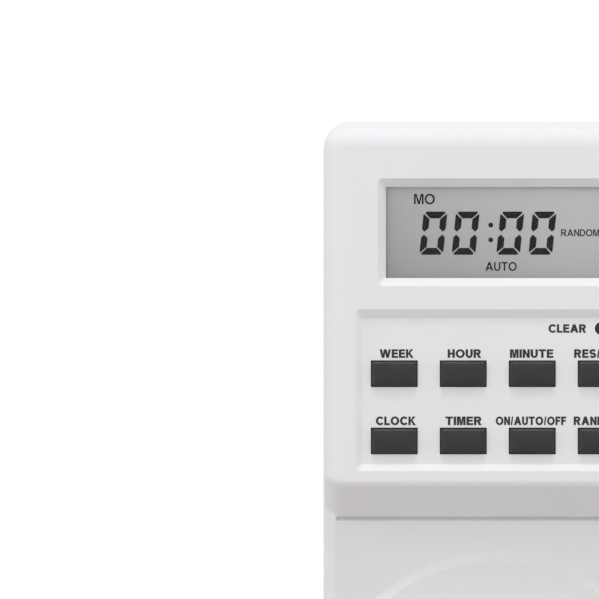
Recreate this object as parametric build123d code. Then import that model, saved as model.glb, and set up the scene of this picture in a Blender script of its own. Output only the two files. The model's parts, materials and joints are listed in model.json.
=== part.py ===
"""Plug-in digital timer switch with a through socket, in millimetres.

X runs across the body, Z up it, and the front faces -Y. The origin lies on the rear face, at the
centre of the pin pattern, so the plug pins stand out towards +Y and the display is above them.
"""

from build123d import *
from math import atan, cos, degrees, hypot, pi, sin
import os

# Body
body_width = 60.0
top_height = 101.5  # upper end above the pin pattern's centre
bottom_drop = 29.1  # lower end below it
corner_radius = 4.5
rear_depth = 16.4  # rear face to the seam
plate_depth = 31.5  # rear face to the lower front plate
seat_rise = 1.5  # round plug seat above that plate
block_depth = 40.0  # rear face to the control panel
brow_drop = 62.7  # upper end to the control block's lower front edge
foot_drop = 68.6  # upper end to the foot of the slope under it
plate_draft = 0.35  # how far each side leans in by the front plate
seat_drop = 5.0  # plug seat's centre below the pin pattern's centre
seat_radius = 32.0
seat_bevel = 1.4
block_edge = 4.3
plate_bevel = 1.5
brow_edge = 1.7
rear_bevel = 1.2
seam_bevel = 0.3
groove_width = 0.7  # shadow groove along the slope's foot
groove_depth = 0.7
groove_side = 2.2  # groove's end to the body's side

# Walls
wall = 2.0
rear_wall = 2.2
block_wall = 3.0
seat_wall = 4.0
slope_wall = 2.2
tongue_thick = 0.95
tongue_reach = 1.5
tongue_gap = 0.1
rib_thick = 1.2
rib_root = 0.5  # rib's reach into the wall it stands on

# Display: drops from the upper end, and distances in from the body's side
frame_top = 9.8
frame_bottom = 28.4
frame_side = 9.3
frame_bevel = 1.4
glass_top = 11.3
glass_bottom = 27.0
glass_side = 10.7
window_lap = 1.3
window_thick = 1.2
lcd_lap = (1.7, 1.65)  # display glass past its opening, across and up
lcd_thick = 2.6
lcd_gap = 0.1
carrier_wall = 1.0
carrier_bar = 2.5
zebra_height = 1.8
zebra_thick = 2.3
zebra_gap = 0.4
zebra_inset = 1.0

# Key panel: drops from the upper end, and distances in from the body's side
panel_top = 32.4
panel_bottom = 60.3
panel_side = 5.5
panel_sink = 0.8
floor_top = 33.9
floor_bottom = 59.1
floor_side = 6.6
recess_corners = (0.9, 0.5)  # radius at the rim and at the floor
key_rows = (43.5, 55.1)
key_size = (7.8, 4.3)
key_margin = 1.65  # panel floor's side to the outer key
key_bevel = 0.28
key_gap = 0.15
key_lip = 0.9
key_lip_thick = 0.95
key_rest_gap = 0.05
stem_span = 3.0
stem_web = 1.0
clear_drop = 35.7
clear_radius = 0.95
clear_sink = 0.1  # front of the round key behind the panel floor
clear_stem = 1.5
mat_thick = 1.0
mat_margin = 0.6
key_travel = 0.9
dome_room = 0.7  # height that a pressed dome keeps
dome_base = (7.0, 5.0)
dome_inset = 1.1  # crown's edge in from the base's
clear_dome = 0.6  # the round key's dome, as a share of the others

# Boards
control_thick = 1.2
control_gap = 1.0  # board to the side wall
control_margin = 0.6  # board below the lowest key lip
control_top_gap = 1.5
notch_gap = 0.5
power_thick = 1.6
power_gap = 4.0
power_drops = (12.0, 61.5)
post_radius = 2.0
post_side = 5.0  # post's axis to the body's side
post_drops = (14.5, 49.3)
post_floor = 0.4  # solid plastic left at a post's blind end
board_hole = 1.1
board_pilot = 0.95
board_shank = 0.9
board_head = 2.0
board_head_thick = 1.4
board_screw_reach = 4.5
boss_inset = (2.5, 3.2)  # boss's axis to the power board's edges
boss_radius = 2.6

# Housing screws
screw_side = 5.4
screw_top = 6.5
screw_bottom = 6.1
tower_radius = 3.3
tower_set = 1.4  # tower's end behind the seam
screw_boss_radius = 3.0
counterbore_radius = 2.9
counterbore_depth = 10.0
screw_hole = 1.6
pilot_radius = 1.25
pilot_end = 2.0  # solid plastic left at the boss's blind end
screw_shank = 1.2
screw_head = 2.7
screw_head_thick = 1.9
screw_length = 14.0

# Pins and slots of the 13 A pattern
pin_spread = 22.2
pin_rise = 22.2
power_pin = (6.35, 4.0)
power_reach = 17.7
earth_pin_size = (4.0, 8.0)
earth_reach = 22.7
pin_tip = 0.9
pin_gap = 0.05
sleeve_reach = 9.5
sleeve_wall = 0.4
pad_depth = 6.0
pad_half = 18.0
pad_span = (-17.0, 18.0)
head_thick = 1.6
head_lap = 1.4
power_slot = (7.2, 4.8)
earth_slot = (4.8, 8.8)
slot_bevel = 0.4

# Contact block, contacts and straps
block_gap = 0.2  # block's rear to the straps
carrier_side = 9.5  # block's side to the body's side
carrier_span = (-24.0, 17.5)
seat_post = 3.0
seat_post_inset = 0.5
power_pocket = (7.6, 9.0)
power_floor = 12.9  # depth of the live and neutral pockets' floor
earth_pocket = (7.8, 9.4)
leaf_thick = 0.6
leaf_tip = 1.8  # leaf ends behind the block's front
leaf_width = 5.6
leaf_spread = 3.0
leaf_throat = 2.0
leaf_flare = 0.1  # how far a mouth opens past the spread
leaf_bends = (0.3, 0.8)  # a leaf's throat and shoulder, as shares of its depth
earth_leaf_width = 6.0
strap_thick = 0.8
strap_width = 4.0
strap_inset = 0.5  # strap's foot in from the edge of the pin's head
strap_side = 1.0  # live strap to the seat post beside it
strap_lap = 6.0
channel_gap = 0.2

# Shutter
shutter_thick = 2.2
shutter_gap = 0.2
shutter_lap = 1.3  # guard past the slots at the sides
guard_low = 1.1  # and below them
guard_high = 0.3  # and above them
web_half = 4.0
web_gap = 0.1  # web's top to the earth pin's way
ramp_half = 1.8
ramp_length = 5.8
ramp_root = 1.0  # ramp below its foot
rail_width = 1.5
rail_gap = 0.3
rail_end = 1.0  # rail's top below the web's
leaf_clear = 1.0  # earth leaves' tips behind the ramp
peg_radius = 0.45
peg_length = 2.0
spring_wire = 0.3
spring_radius = 0.85
spring_turns = 5
spring_steps = 8  # straight runs in a turn
spring_length = 7.8
ledge_thick = 1.5
ledge_half = 2.5

# Parts on the boards: (x, drop of the centre from the upper end, width, height, rise)
relay_place = (-8.0, 47.0, 29.0, 12.7, 15.7)
relay_groove = (0.6, 0.4, 2.0)  # width, depth, and distance in from each end
relay_groove_place = 0.3  # groove's distance from the middle, as a share of the height
case_bevel = 0.6
film_place = (-11.0, 29.5, 18.0, 8.5, 15.0)
varistor_place = (14.5, 53.5, 8.5, 3.4, 9.5)
varistor_pitch = 5.0  # between its leads
electrolytic_place = (16.0, 22.5)
electrolytic_radius = 4.0
electrolytic_rise = 12.0
can_bevel = 0.6
resistor_place = (14.5, 31.5)
resistor_radius = 1.7
resistor_length = 9.0
diode_place = (9.6, 44.0)
diode_pitch = 3.7
diode_radius = 1.3
diode_length = 5.0
lead_radius = 0.35
lead_reach = 2.2
lead_root = 1.0  # lead's reach into its part
link_place = (-6.0, 19.0)
link_pins = 6
link_pitch = 2.54
link_pin = 0.64
chip_place = (13.0, 44.5)
chip_radius = 6.5
chip_rise = 1.6
chip_crown = 5.0
crystal_place = (15.0, 33.5)
crystal_radius = 1.0
crystal_length = 6.0
battery_place = (-8.0, 10.0)
battery_radius = 5.8
battery_thick = 5.4
tab_width = 4.0
tab_thick = 0.3
tab_lap = 2.0  # tab on the cell past its centre
tab_out = 1.0  # tab's foot past the cell's rim

# Planes and heights worked out from the sizes above
half_width = body_width / 2
seam_y = -rear_depth
plate_y = -plate_depth
seat_y = plate_y - seat_rise
panel_y = -block_depth
floor_y = panel_y + panel_sink
inner_panel_y = panel_y + block_wall
inner_seat_y = seat_y + seat_wall
bottom_z = -bottom_drop
middle_z = (top_height + bottom_z) / 2
brow_z = top_height - brow_drop
foot_z = top_height - foot_drop
body_height = top_height - bottom_z
draft_angle = degrees(atan(plate_draft / (plate_depth - rear_depth)))
frame_half = half_width - frame_side
glass_half = half_width - glass_side
glass_size = (2 * glass_half, glass_bottom - glass_top)
lcd_size = [side + 2 * lap for side, lap in zip(glass_size, lcd_lap)]
lcd_y = inner_panel_y + lcd_gap
display_z = top_height - (glass_top + glass_bottom) / 2
panel_half = half_width - panel_side
floor_half = half_width - floor_side
control_front = lcd_y + lcd_thick + zebra_thick
control_rear = control_front + control_thick
control_half = half_width - wall - control_gap
head_y = -(pad_depth + head_thick)
strap_y = head_y - strap_thick
power_rear = strap_y
power_front = power_rear - power_thick
power_half = half_width - wall - power_gap
power_high, power_low = [top_height - drop for drop in power_drops]
pin_x = pin_spread / 2
earth_z = pin_rise / 2
power_z = -pin_rise / 2
key_pitch = (2 * (floor_half - key_margin) - key_size[0]) / 3
key_x = [key_pitch * (column - 1.5) for column in range(4)]
key_z = [top_height - drop for drop in key_rows]
clear_z = top_height - clear_drop
lip_y = inner_panel_y + key_rest_gap
stem_end = lip_y + key_lip_thick
mat_y = control_front - mat_thick
dome_y = mat_y - key_travel - dome_room
screw_x = half_width - screw_side
screw_z = [top_height - screw_top, bottom_z + screw_bottom]
tower_y = seam_y + tower_set
post_x = half_width - post_side
post_z = [top_height - drop for drop in post_drops]
boss_x = power_half - boss_inset[0]
boss_z = [power_low + boss_inset[1], power_high - boss_inset[1]]
carrier_half = half_width - carrier_side
block_back = strap_y - block_gap
seat_post_x = carrier_half - seat_post_inset - seat_post / 2
strap_x = seat_post_x - seat_post / 2 - strap_side - strap_width / 2
shutter_half = pin_x + power_slot[0] / 2 + shutter_lap
shutter_low = power_z - power_slot[1] / 2 - guard_low
shutter_high = power_z + power_slot[1] / 2 + guard_high
shutter_travel = power_slot[1] + 2 * guard_high
shutter_front = inner_seat_y + shutter_gap
shutter_rear = shutter_front + shutter_thick
shutter_top = earth_z - earth_pin_size[1] / 2 - web_gap
block_y = shutter_rear + shutter_gap
ramp_end = shutter_front + ramp_length
ledge_z = shutter_low - spring_length


def prism(sketch, rear, front):
    """A front-view sketch carried from one Y to another, the second nearer the front."""
    return extrude(Plane.XZ.offset(-rear) * sketch, amount=rear - front)


def brick(xs, ys, zs):
    """A box from its low and high X, Y and Z."""
    size = [high - low for low, high in (xs, ys, zs)]
    middle = [(low + high) / 2 for low, high in (xs, ys, zs)]
    return Pos(*middle) * Box(*size)


def post(x, z, rear, front, radius):
    """A round post that stands towards the front."""
    return prism(Pos(x, z) * Circle(radius), rear, front)


def frame_box(rect, rear, front, z):
    """A rectangle on the body's middle line, carried from one Y to another."""
    return prism(Pos(0, z) * Rectangle(*rect), rear, front)


def grown(size, margin):
    """A width and height with a margin added on every side."""
    return [side + 2 * margin for side in size]


def frustum(x, z, size, inset, base, crown):
    """A rectangle at one Y that draws in on all four sides by another Y."""
    turn = Rot(0, 0, 180) if crown < base else Rot(0, 0, 0)
    width, height = size
    shape = Wedge(width, abs(crown - base), height, inset, inset, width - inset, height - inset)
    return Pos(x, (base + crown) / 2, z) * turn * shape


def side_wedge(points, half):
    """A side-view outline carried across the body."""
    return extrude(Plane.YZ * Polygon(*points, align=None), amount=half, both=True)


def ribbon(points, thickness):
    """The outline of a strip of even thickness about its centre line."""
    line = [Vector(*point) for point in points]
    runs = [(after - before).normalized() for before, after in zip(line, line[1:])]
    left, right = [], []
    for place, point in enumerate(line):
        before = runs[max(place - 1, 0)]
        after = runs[min(place, len(runs) - 1)]
        across = (before + after).normalized().rotate(Axis.Z, 90)
        reach = thickness / 2 / across.dot(before.rotate(Axis.Z, 90))
        left.append(point + across * reach)
        right.append(point - across * reach)
    return Polygon(*[(p.X, p.Y) for p in left + right[::-1]], align=None)


def wire(points, radius):
    """A thin wire along straight runs, six-sided to stay light."""
    path = Polyline(*points)
    section = Plane(origin=path @ 0, z_dir=path % 0) * RegularPolygon(radius, 6)
    return sweep(section, path=path, transition=Transition.RIGHT)


def join(solids):
    """Fuses pieces into one solid."""
    fused = solids[0]
    for solid in solids[1:]:
        fused += solid
    return fused


def outline(inset=0.0):
    """The body seen from the front, drawn in by an inset."""
    size = (body_width - 2 * inset, body_height - 2 * inset)
    return Pos(0, middle_z) * RectangleRounded(*size, corner_radius - inset)


def drafted(front):
    """The body outline, leaning in from the seam to a front plane."""
    base = Plane.XZ.offset(rear_depth) * outline()
    return extrude(base, amount=seam_y - front, taper=draft_angle)


def bevel_front(solid, size):
    """Bevels the outer edges of the front face."""
    return chamfer(solid.faces().sort_by(Axis.Y)[0].edges(), size)


def bevelled(top, bottom, half, inner_top, inner_bottom, inner_half, front, depth):
    """A recess whose four walls slope in towards its floor, from drops below the upper end."""
    rim, floor = recess_corners
    shapes = [(top, bottom, half, front, rim), (inner_top, inner_bottom, inner_half, front + depth, floor)]
    sections = []
    for high, low, across, y, corner in shapes:
        place = Pos(0, top_height - (high + low) / 2)
        sections.append(Plane.XZ.offset(-y) * place * RectangleRounded(2 * across, low - high, corner))
    return loft(sections)


def control_block():
    """The upper block, with its sloping underside and soft front edges."""
    profile = [
        (seam_y, slope_height(seam_y)),
        (panel_y, brow_z),
        (panel_y, top_height + 1),
        (seam_y, top_height + 1),
    ]
    block = prism(outline(), seam_y, panel_y) & side_wedge(profile, body_width)
    front = block.faces().sort_by(Axis.Y)[0]
    brow = front.edges().sort_by(Axis.Z)[0]
    near = 0.01
    soft = [edge for edge in front.edges() if edge.center().Z > brow_z + near]
    slope = block.faces().filter_by(lambda face: face.normal_at().Z < -0.3 and face.normal_at().Y < -0.3)[0]
    soft += [edge for edge in slope.edges() if abs(edge.center().X) > half_width - near]
    block = fillet(soft, block_edge)
    brow = [edge for edge in block.edges().filter_by(Axis.X) if edge.distance_to(brow.center()) < near]
    return fillet(brow, brow_edge)


def plug_seat():
    """The round raised seat for a plug, cut off by the sides of the body."""
    body = bevel_front(drafted(seat_y), plate_bevel)
    place = Plane.XZ.offset(rear_depth) * Pos(0, -seat_drop)
    drum = extrude(place * Circle(seat_radius), amount=seam_y - plate_y)
    rim = Plane.XZ.offset(plate_depth) * Pos(0, -seat_drop)
    crest = Plane.XZ.offset(-seat_y) * Pos(0, -seat_drop)
    drum += loft([rim * Circle(seat_radius), crest * Circle(seat_radius - seat_bevel)])
    return body & drum


def slope_height(y, inset=0.0):
    """Height of the slope under the block at a depth, or of its inner face."""
    run, climb = block_depth - plate_depth, brow_z - foot_z
    return foot_z + (plate_y - y) / run * climb + inset * hypot(run, climb) / run


def cavity():
    """The hollow behind the front housing's walls."""
    profile = [
        (0, bottom_z),
        (inner_seat_y, bottom_z),
        (inner_seat_y, slope_height(inner_seat_y, slope_wall)),
        (inner_panel_y, slope_height(inner_panel_y, slope_wall)),
        (inner_panel_y, top_height),
        (0, top_height),
    ]
    return prism(outline(wall), 0, inner_panel_y) & side_wedge(profile, body_width)


def tongue(clearance=0.0):
    """The rib of the front housing that slips inside the rear one, or the room for it."""
    ring = outline(wall - tongue_thick - clearance) - outline(wall)
    return prism(ring, seam_y + tongue_reach + clearance, seam_y)


def seam_relief(rear, front):
    """A fine step round the outside of the seam."""
    return prism(outline(-1) - outline(seam_bevel), rear, front)


def slots():
    """The three slots through the plug seat, with eased mouths."""
    cut = []
    for x, z, size in (
        (-pin_x, power_z, power_slot),
        (pin_x, power_z, power_slot),
        (0, earth_z, earth_slot),
    ):
        cut.append(prism(Pos(x, z) * Rectangle(*size), inner_seat_y + 1, seat_y - 1))
        cut.append(frustum(x, z, grown(size, slot_bevel), slot_bevel, seat_y, seat_y + slot_bevel))
    return join(cut)


def shadow_groove():
    """Groove that parts the slope from the plate below it."""
    run = half_width - groove_side
    low, high = foot_z - groove_width / 2, foot_z + groove_width / 2
    return brick((-run, run), (plate_y - groove_depth, plate_y + groove_depth), (low, high))


def corner_ribs(x, z, rear, front):
    """Two ribs that tie a screw tower to the side wall and the end wall beside it."""
    side = half_width - wall + rib_root
    end = top_height - wall + rib_root if z > middle_z else bottom_z + wall - rib_root
    across = sorted((x, side if x > 0 else -side))
    upward = sorted((z, end))
    half = rib_thick / 2
    return brick(across, (front, rear), (z - half, z + half)) + brick((x - half, x + half), (front, rear), upward)


def front_housing():
    """The front shell with the key panel, the display opening and the plug seat."""
    shell = bevel_front(drafted(plate_y), plate_bevel) + plug_seat() + control_block()
    shell -= cavity()
    shell -= shadow_groove()
    shell += tongue()
    shell -= seam_relief(seam_y, seam_y - seam_bevel)
    shell -= bevelled(frame_top, frame_bottom, frame_half, glass_top, glass_bottom, glass_half, panel_y, frame_bevel)
    shell -= frame_box(glass_size, inner_panel_y, panel_y, display_z)
    rabbet = grown(glass_size, window_lap + lcd_gap)
    shell -= frame_box(rabbet, inner_panel_y, inner_panel_y - window_thick, display_z)
    shell -= bevelled(panel_top, panel_bottom, panel_half, floor_top, floor_bottom, floor_half, panel_y, panel_sink)
    hole = Rectangle(*grown(key_size, key_gap))
    for z in key_z:
        for x in key_x:
            shell -= prism(Pos(x, z) * hole, inner_panel_y, panel_y)
    shell -= post(key_x[3], clear_z, inner_panel_y, panel_y, clear_radius + key_gap)
    shell -= slots()
    for x in (-screw_x, screw_x):
        for z in screw_z:
            end = inner_panel_y if z > foot_z else inner_seat_y
            shell += post(x, z, tower_y, end, screw_boss_radius) + corner_ribs(x, z, seam_y, end)
            shell -= post(x, z, tower_y, end + pilot_end, pilot_radius)
    for x in (-post_x, post_x):
        for z in post_z:
            shell += post(x, z, control_front, inner_panel_y, post_radius)
            shell -= post(x, z, control_front, inner_panel_y + post_floor, board_pilot)
    return shell


def rear_housing():
    """The rear shell that carries the pins, the contact block and the power board."""
    body = prism(outline(), 0, seam_y)
    rim = body.faces().sort_by(Axis.Y)[-1].edges()
    shell = chamfer(rim, rear_bevel)
    shell -= prism(outline(wall), -rear_wall, seam_y)
    shell -= tongue(tongue_gap)
    shell -= seam_relief(seam_y + seam_bevel, seam_y)
    shell += brick((-pad_half, pad_half), (-pad_depth, -rear_wall), pad_span)
    for x, z in seat_post_places():
        shell += prism(Pos(x, z) * Rectangle(seat_post, seat_post), -rear_wall, block_back)
    rib_y = tower_y + tongue_reach
    for x in (-screw_x, screw_x):
        for z in screw_z:
            shell += post(x, z, -rear_wall, tower_y, tower_radius) + corner_ribs(x, z, -rear_wall, rib_y)
            shell -= post(x, z, 0, -counterbore_depth, counterbore_radius)
            shell -= post(x, z, -counterbore_depth, tower_y, screw_hole)
    for x in (-boss_x, boss_x):
        for z in boss_z:
            shell += post(x, z, -rear_wall, power_rear, boss_radius)
            shell -= post(x, z, -rear_wall, power_rear, board_pilot)
    core = Rectangle(*grown(power_pin, pin_gap - sleeve_wall))
    sleeve = Rectangle(*grown(power_pin, pin_gap))
    for x in (-pin_x, pin_x):
        shell -= prism(Pos(x, power_z) * core, 0, -pad_depth)
        shell -= prism(Pos(x, power_z) * sleeve, 0, -rear_wall)
    shell -= prism(Pos(0, earth_z) * Rectangle(*grown(earth_pin_size, pin_gap)), 0, -pad_depth)
    return shell


def seat_post_places():
    """Where the four posts under and over the contact block stand."""
    low, high = carrier_span
    edge = seat_post_inset + seat_post / 2
    return [(side * seat_post_x, z) for side in (-1, 1) for z in (low + edge, high - edge)]


def display_window():
    """Clear window in the rabbet behind the display opening."""
    return frame_box(grown(glass_size, window_lap), inner_panel_y, inner_panel_y - window_thick, display_z)


def lcd_panel():
    """Two glass plates; the rear one is taller, for its contact ledges."""
    width, height = lcd_size
    half = lcd_y + lcd_thick / 2
    glass = frame_box((width, height - zebra_height), half, lcd_y, display_z)
    return glass + frame_box(lcd_size, lcd_y + lcd_thick, half, display_z)


def zebra_strips():
    """Conductive rubber strips between the display's ledges and the control board."""
    width, height = lcd_size
    strip = (width - 2 * zebra_inset, zebra_height)
    rise = (height - zebra_height) / 2
    places = (display_z - rise, display_z + rise)
    return Compound(children=[frame_box(strip, control_front, lcd_y + lcd_thick, z) for z in places])


def lcd_carrier():
    """Frame that holds the display square to the control board."""
    inner = grown(lcd_size, lcd_gap)
    outer = grown(inner, carrier_wall)
    frame = prism(Pos(0, display_z) * (Rectangle(*outer) - Rectangle(*inner)), control_front, lcd_y)
    rest = (outer[0], lcd_size[1] - 2 * (zebra_height + zebra_gap))
    bars = Rectangle(*rest) - Rectangle(inner[0] - 2 * carrier_bar, rest[1] - 2 * carrier_bar)
    return frame + prism(Pos(0, display_z) * bars, control_front, lcd_y + lcd_thick)


def control_board():
    """Circuit board behind the keys and the display, notched round the housing bosses."""
    low = key_z[1] - key_size[1] / 2 - key_lip - control_margin
    high = top_height - wall - control_top_gap
    board = Pos(0, (low + high) / 2) * Rectangle(2 * control_half, high - low)
    notch = screw_boss_radius + notch_gap
    for x in (-screw_x, screw_x):
        board -= Pos(x, screw_z[0]) * Circle(notch)
        board -= Pos(x + (notch if x > 0 else -notch), screw_z[0]) * Rectangle(2 * notch, 2 * notch)
        board -= Pos(x, screw_z[0] + notch) * Rectangle(2 * notch, 2 * notch)
    for x in (-post_x, post_x):
        for z in post_z:
            board -= Pos(x, z) * Circle(board_hole)
    return prism(board, control_rear, control_front)


def power_board():
    """Circuit board with the relay and its supply."""
    middle = (power_low + power_high) / 2
    board = Pos(0, middle) * Rectangle(2 * power_half, power_high - power_low)
    for x in (-boss_x, boss_x):
        for z in boss_z:
            board -= Pos(x, z) * Circle(board_hole)
    return prism(board, power_rear, power_front)


def stem(x, z, span):
    """Cross-shaped stem from a key's lip to its dome."""
    cross = Rectangle(span, stem_web) + Rectangle(stem_web, span)
    return prism(Pos(x, z) * cross, dome_y - key_rest_gap, stem_end)


def key(x, z):
    """A rectangular key with its lip behind the panel and a stem to the dome."""
    cap = prism(Pos(x, z) * Rectangle(*key_size), lip_y, panel_y)
    cap = chamfer(cap.faces().sort_by(Axis.Y)[0].edges(), key_bevel)
    lip = prism(Pos(x, z) * Rectangle(*grown(key_size, key_lip)), stem_end, lip_y)
    return cap + lip + stem(x, z, stem_span)


def clear_key():
    """The small round key, pressed with a point."""
    x = key_x[3]
    cap = post(x, clear_z, lip_y, floor_y + clear_sink, clear_radius)
    cap = chamfer(cap.faces().sort_by(Axis.Y)[0].edges(), key_bevel)
    return cap + post(x, clear_z, stem_end, lip_y, clear_radius + key_lip) + stem(x, clear_z, clear_stem)


def dome(x, z, share=1.0):
    """Sprung web of the mat under one key, drawn in towards its crown."""
    return frustum(x, z, [side * share for side in dome_base], dome_inset * share, mat_y, dome_y)


def keypad_mat():
    """Silicone sheet on the control board, with a dome under each key."""
    low = key_z[1] - key_size[1] / 2 - key_lip
    high = clear_z + clear_radius + key_lip + mat_margin
    half = key_x[3] + key_size[0] / 2 + mat_margin
    mat = brick((-half, half), (mat_y, control_front), (low, high))
    mat += dome(key_x[3], clear_z, clear_dome)
    for z in key_z:
        for x in key_x:
            mat += dome(x, z)
    return mat


def tapped_pin(x, z, size, reach):
    """A solid plug pin with an eased tip and a head inside the rear housing."""
    pin = prism(Pos(x, z) * Rectangle(*size), reach, -pad_depth)
    pin = chamfer(pin.faces().sort_by(Axis.Y)[-1].edges(), pin_tip)
    return pin + prism(Pos(x, z) * Rectangle(*grown(size, head_lap)), -pad_depth, head_y)


def power_pin_solid(x):
    """A live or neutral pin, drawn in where its sleeve sits."""
    pin = tapped_pin(x, power_z, power_pin, power_reach)
    waist = Rectangle(*grown(power_pin, sleeve_wall)) - Rectangle(*grown(power_pin, -sleeve_wall))
    return pin - prism(Pos(x, power_z) * waist, sleeve_reach, -pad_depth)


def pin_sleeves():
    """Insulating sleeves round the root of the live and neutral pins."""
    ring = Rectangle(*power_pin) - Rectangle(*grown(power_pin, -sleeve_wall))
    places = (-pin_x, pin_x)
    return Compound(children=[prism(Pos(x, power_z) * ring, sleeve_reach, -rear_wall) for x in places])


def contact_block():
    """Moulded block that holds the three contacts and guides the shutter."""
    low, high = carrier_span
    block = brick((-carrier_half, carrier_half), (block_y, block_back), (low, high))
    for x, z in seat_post_places():
        block += prism(Pos(x, z) * Rectangle(seat_post, seat_post), block_y, inner_seat_y)
    rail_span = (shutter_high + rail_gap, shutter_top - rail_end)
    for side in (-1, 1):
        x = side * (web_half + rail_gap + rail_width / 2)
        across = (x - rail_width / 2, x + rail_width / 2)
        block += brick(across, (inner_seat_y + shutter_gap / 2, block_y), rail_span)
    ledge_span = (ledge_z - ledge_thick, ledge_z)
    block += brick((-ledge_half, ledge_half), (inner_seat_y + shutter_gap, block_y), ledge_span)
    for x in (-pin_x, pin_x):
        block -= prism(Pos(x, power_z) * Rectangle(*power_pocket), -power_floor, block_y)
    block -= prism(Pos(0, earth_z) * Rectangle(*earth_pocket), block_back, block_y)
    ramp_room = ramp_half + rail_gap
    ramp_low = shutter_top - ramp_root - shutter_travel - rail_gap
    block -= brick((-ramp_room, ramp_room), (block_y, ramp_end + rail_gap), (ramp_low, earth_z))
    riser = grown((strap_width, strap_thick), channel_gap)
    block -= prism(Pos(-pin_x, power_z) * Rectangle(*riser), block_back, -power_floor)
    half = strap_width / 2 + channel_gap
    channel_low = power_z - leaf_spread - channel_gap
    block -= brick((pin_x - half, pin_x + half), (-power_floor, block_back), (channel_low, high))
    return block


def leaf_pair(base, tip, throat, spread):
    """Centre line of a sprung U, from one mouth round its base to the other."""
    depth = base - tip
    half = [
        (tip, spread + leaf_flare),
        (tip + depth * leaf_bends[0], throat),
        (tip + depth * leaf_bends[1], spread),
        (base, spread),
    ]
    return half + [(y, -z) for y, z in half[::-1]]


def power_contact(x):
    """Sprung contact for a live or neutral pin, with a leaf above and below."""
    base = -power_floor - leaf_thick / 2
    line = leaf_pair(base, block_y + leaf_tip, leaf_throat, leaf_spread)
    strip = Plane.YZ.offset(x) * Pos(0, power_z) * ribbon(line, leaf_thick)
    return extrude(strip, amount=leaf_width / 2, both=True)


def earth_contact():
    """Sprung contact for the earth pin, with a leaf on each side."""
    base = head_y - leaf_thick / 2
    line = leaf_pair(base, ramp_end + leaf_clear, leaf_throat, leaf_spread)
    strip = Plane.XY.offset(earth_z) * ribbon([(z, y) for y, z in line], leaf_thick)
    return extrude(strip, amount=earth_leaf_width / 2, both=True)


def strap_foot(x):
    """The part of a strap that lies on a pin's head."""
    return Pos(x, power_z) * Rectangle(*grown(power_pin, head_lap - strap_inset))


def neutral_strap():
    """Plate on the neutral pin's head with a riser to its contact."""
    riser = Pos(-pin_x, power_z) * Rectangle(strap_width, strap_thick)
    return prism(strap_foot(-pin_x), head_y, strap_y) + prism(riser, head_y, -power_floor)


def live_strap():
    """Strap from the live pin's head up to the power board's rear."""
    top = power_low + strap_lap
    arm = Pos(strap_x, (power_z + top) / 2) * Rectangle(strap_width, top - power_z)
    return prism(strap_foot(pin_x) + arm, head_y, strap_y)


def switched_strap():
    """Strap from the live contact's base up to the power board's front."""
    y = -power_floor + strap_thick / 2
    top = power_low + strap_lap / 2
    line = [(y, power_z - leaf_spread), (y, top), (power_front, top)]
    strip = Plane.YZ.offset(pin_x) * ribbon(line, strap_thick)
    return extrude(strip, amount=strap_width / 2, both=True)


def shutter():
    """Sliding guard over the live and neutral slots, with the ramp that the earth pin pushes."""
    guard = brick((-shutter_half, shutter_half), (shutter_front, shutter_rear), (shutter_low, shutter_high))
    guard += brick((-web_half, web_half), (shutter_front, shutter_rear), (shutter_low, shutter_top))
    ramp = [
        (shutter_front, shutter_top - ramp_root),
        (shutter_front, shutter_top),
        (ramp_end, shutter_top + shutter_travel - web_gap),
        (ramp_end, shutter_top - ramp_root),
    ]
    guard += side_wedge(ramp, ramp_half)
    y = (shutter_front + shutter_rear) / 2
    peg = Pos(0, y, shutter_low - peg_length / 2) * Cylinder(peg_radius, peg_length)
    return guard + peg


def shutter_spring():
    """Coil spring between the shutter and the block's ledge."""
    centre = (shutter_front + shutter_rear) / 2
    low = ledge_z + spring_wire / 2
    rise = spring_length - spring_wire
    steps = spring_turns * spring_steps
    points = []
    for step in range(steps + 1):
        turn = 2 * pi * step / spring_steps
        place = (spring_radius * cos(turn), centre + spring_radius * sin(turn), low + rise * step / steps)
        points.append(place)
    return wire(points, spring_wire / 2)


def screw(x, z, seat, length, head, head_thick, shank):
    """A screw driven towards the front; its head lies behind the seat."""
    return post(x, z, seat + head_thick, seat, head) + post(x, z, seat, seat - length, shank)


def housing_screws():
    """Four screws that draw the two shells together."""
    seat = -counterbore_depth
    sizes = (screw_length, screw_head, screw_head_thick, screw_shank)
    places = [(x, z) for x in (-screw_x, screw_x) for z in screw_z]
    return Compound(children=[screw(x, z, seat, *sizes) for x, z in places])


def control_screws():
    """Four screws that hold the control board to the front housing."""
    sizes = (board_screw_reach, board_head, board_head_thick, board_shank)
    places = [(x, z) for x in (-post_x, post_x) for z in post_z]
    return Compound(children=[screw(x, z, control_rear, *sizes) for x, z in places])


def power_screws():
    """Four screws that hold the power board to the rear housing."""
    sizes = (board_screw_reach, board_head, board_head_thick, board_shank)
    places = [(x, z) for x in (-boss_x, boss_x) for z in boss_z]
    flipped = []
    for x, z in places:
        one = screw(x, z, power_rear, *sizes)
        flipped.append(mirror(one, about=Plane.XZ.offset(-(power_rear + power_front) / 2)))
    return Compound(children=flipped)


def box_part(x, drop, width, height, rise, edge):
    """A moulded box on the power board."""
    z = top_height - drop
    body = prism(Pos(x, z) * Rectangle(width, height), power_front, power_front - rise)
    return chamfer(body.faces().sort_by(Axis.Y)[0].edges(), edge)


def relay():
    """Sealed relay with the two grooves that such cases have along the top."""
    case = box_part(*relay_place, case_bevel)
    x, drop, width, height, rise = relay_place
    groove_high, deep, inset = relay_groove
    groove = Rectangle(width - 2 * inset, groove_high)
    top = power_front - rise
    for side in (-1, 1):
        place = Pos(x, top_height - drop + side * height * relay_groove_place)
        case -= prism(place * groove, top + deep, top)
    return case


def film_capacitor():
    """Boxed film capacitor."""
    return box_part(*film_place, case_bevel)


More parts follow.
